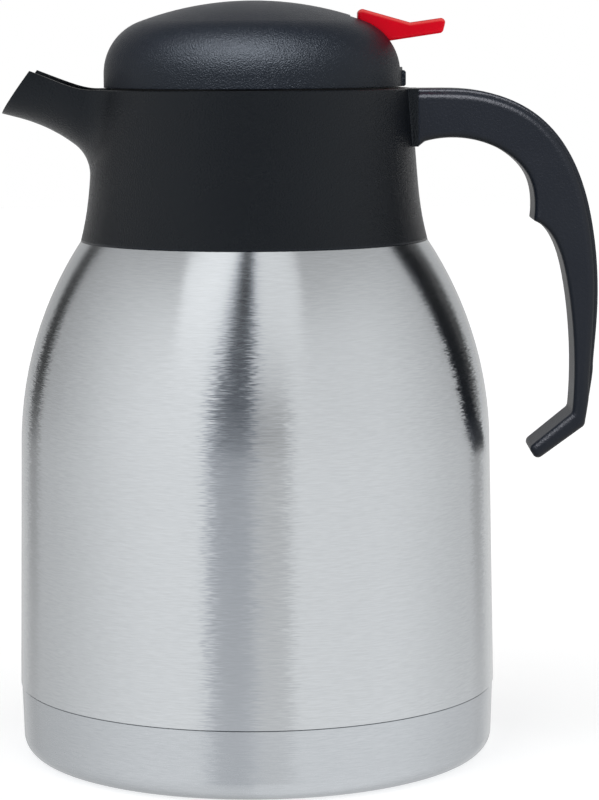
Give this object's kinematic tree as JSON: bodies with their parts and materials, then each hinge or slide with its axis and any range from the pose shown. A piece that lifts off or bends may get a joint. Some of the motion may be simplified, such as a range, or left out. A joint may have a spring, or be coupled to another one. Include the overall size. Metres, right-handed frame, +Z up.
{
  "type": "thermal carafe",
  "caption": "Double-walled steel thermal carafe with plastic collar, spout and open handle, twist-off domed lid and red thumb lever that lifts a pour valve.",
  "frame": {"origin": "centre of the underside, on the body's axis", "axes": "+Z up, +X towards the handle, -X towards the spout"},
  "size_m": [0.1894, 0.1536, 0.2412],
  "materials": {
    "steel_wall": "satin, brushed round the body",
    "steel_base": "satin, brushed round",
    "steel_inside": "plain rolled sheet",
    "fixings": "bright stainless",
    "collar_plastic": "black, fine spark-eroded grain",
    "handle_plastic": "black, coarser grain",
    "cover_plastic": "black, smoother grain",
    "lid_plastic": "black, fine spark-eroded grain",
    "plug_plastic": "black, plain moulded",
    "lever_red": "glossy red",
    "silicone": "translucent white silicone",
    "pad_rubber": "black anti-slip sheet",
    "foam": "white rigid foam"
  },
  "bodies": {
    "jug": {"outer_shell": "steel_wall", "inner_liner": "steel_inside", "outer_bottom": "steel_inside", "vacuum_seal": "steel_inside", "getter": "steel_inside", "base_cup": "steel_base", "base_pad": "pad_rubber", "neck_gasket": "silicone", "collar": "collar_plastic", "handle": "handle_plastic", "handle_cover": "cover_plastic", "handle_screws": "fixings"},
    "seal_carrier": {"neck_seal": "silicone"},
    "lid": {"lid_dome": "lid_plastic", "lid_plug": "plug_plastic", "plug_insulation": "foam", "lid_screws": "fixings", "lever_pin": "fixings", "valve_spring": "fixings"},
    "lever": {"thumb_lever": "lever_red"},
    "valve": {"valve_stem": "fixings", "valve_disc": "plug_plastic", "valve_seal": "silicone", "stem_cap": "plug_plastic"}
  },
  "joints": [
    {"name": "lid_rise", "type": "slide", "parent": "jug", "child": "seal_carrier", "axis": [0, 0, 1], "range_m": [0, 0.0481]},
    {"name": "lid_turn", "type": "hinge", "parent": "seal_carrier", "child": "lid", "pos_m": [0, 0, 0.2], "axis": [0, 0, 1], "range_deg": [0, 720]},
    {"name": "valve_lift", "type": "slide", "parent": "lid", "child": "valve", "axis": [0, 0, 1], "range_m": [0, 0.00592], "stiffness_N_per_m": 400, "springref_m": -0.01, "deforming": ["valve_spring"]},
    {"name": "lever_press", "type": "hinge", "parent": "lid", "child": "lever", "pos_m": [0.0377, 0, 0.2272], "axis": [0, 1, 0], "range_deg": [0, 9]}
  ],
  "couplings": [
    {"joint": "lid_rise", "follows": "lid_turn", "m_per_rad": 0.0038197},
    {"joint": "lever_press", "follows": "valve_lift", "rad_per_m": 26.525}
  ]
}
